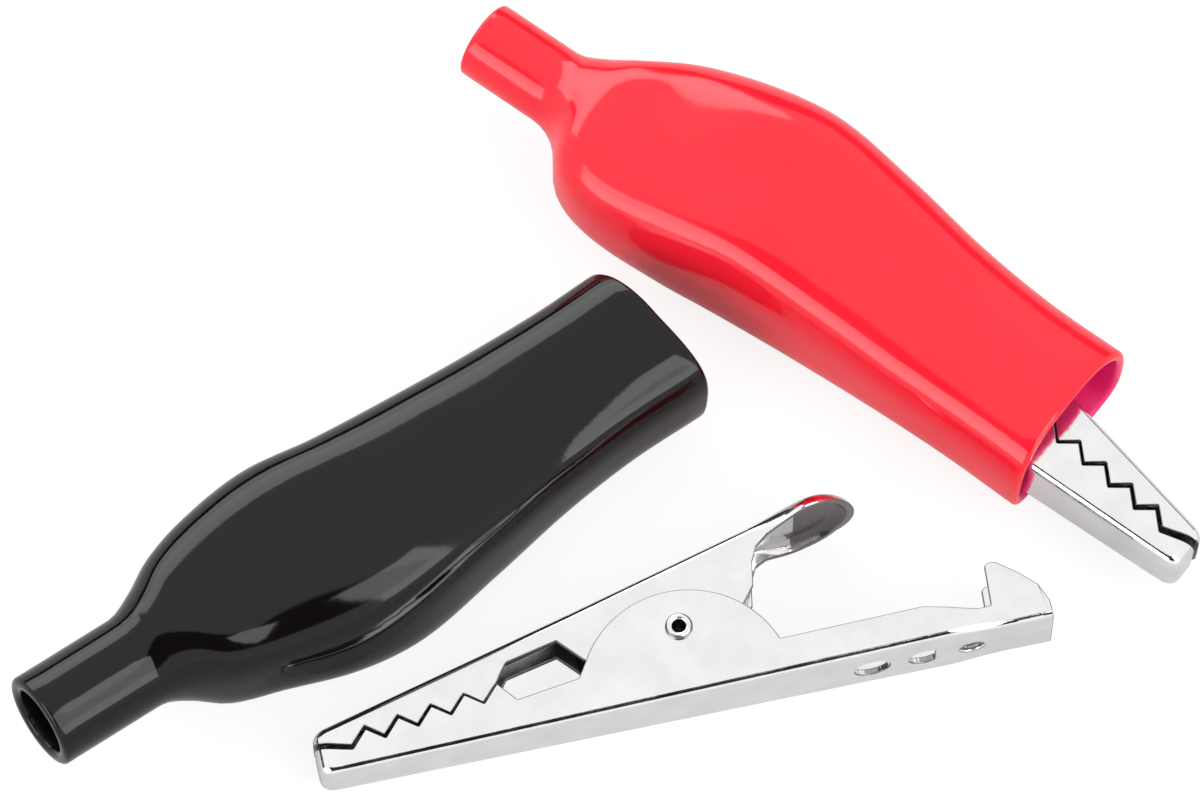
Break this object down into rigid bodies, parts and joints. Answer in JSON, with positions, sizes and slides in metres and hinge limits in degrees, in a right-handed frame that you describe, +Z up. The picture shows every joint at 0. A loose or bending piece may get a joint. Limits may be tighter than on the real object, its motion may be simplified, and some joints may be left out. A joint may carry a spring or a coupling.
{
  "type": "alligator clip set",
  "caption": "Spring-loaded sheet-metal alligator clips with toothed jaws and soft slip-on insulating boots, one boot fitted and one taken off.",
  "frame": {"origin": "on the table plane, below the middle of the whole layout's box", "axes": "+Z up from the table; X runs along the table from the black boot towards the red clip's jaws; Y points away from the viewer of the picture"},
  "size_m": [0.0786, 0.0564, 0.0123],
  "materials": {
    "red_pvc": "soft, glossy, slightly translucent",
    "black_pvc": "soft, glossy",
    "nickel": "bright nickel plate on pressed steel sheet",
    "spring_steel": "plain wire"
  },
  "bodies": {
    "laid_out": {"red_boot": "red_pvc", "black_boot": "black_pvc", "bare_upper_jaw": "nickel", "bare_spring": "spring_steel", "red_lower_jaw": "nickel", "red_eyelet": "nickel", "red_spring": "spring_steel"},
    "bare_lower": {"bare_lower_jaw": "nickel", "bare_eyelet": "nickel"},
    "red_upper": {"red_upper_jaw": "nickel"}
  },
  "joints": [
    {"name": "bare_hinge", "type": "hinge", "parent": "laid_out", "child": "bare_lower", "pos_m": [0.00476, -0.01742, 0.00314], "axis": [-0.005, -0.1089, 0.994], "range_deg": [0, 20], "stiffness_Nm_per_rad": 0.05, "springref_deg": -34.38, "deforming": ["bare_spring"]},
    {"name": "red_hinge", "type": "hinge", "parent": "laid_out", "child": "red_upper", "pos_m": [0.02019, 0.00521, 0.00553], "axis": [0.0437, -0.0318, 0.9985], "range_deg": [0, 15], "stiffness_Nm_per_rad": 0.05, "springref_deg": -34.38, "deforming": ["red_spring", "red_boot"]}
  ]
}
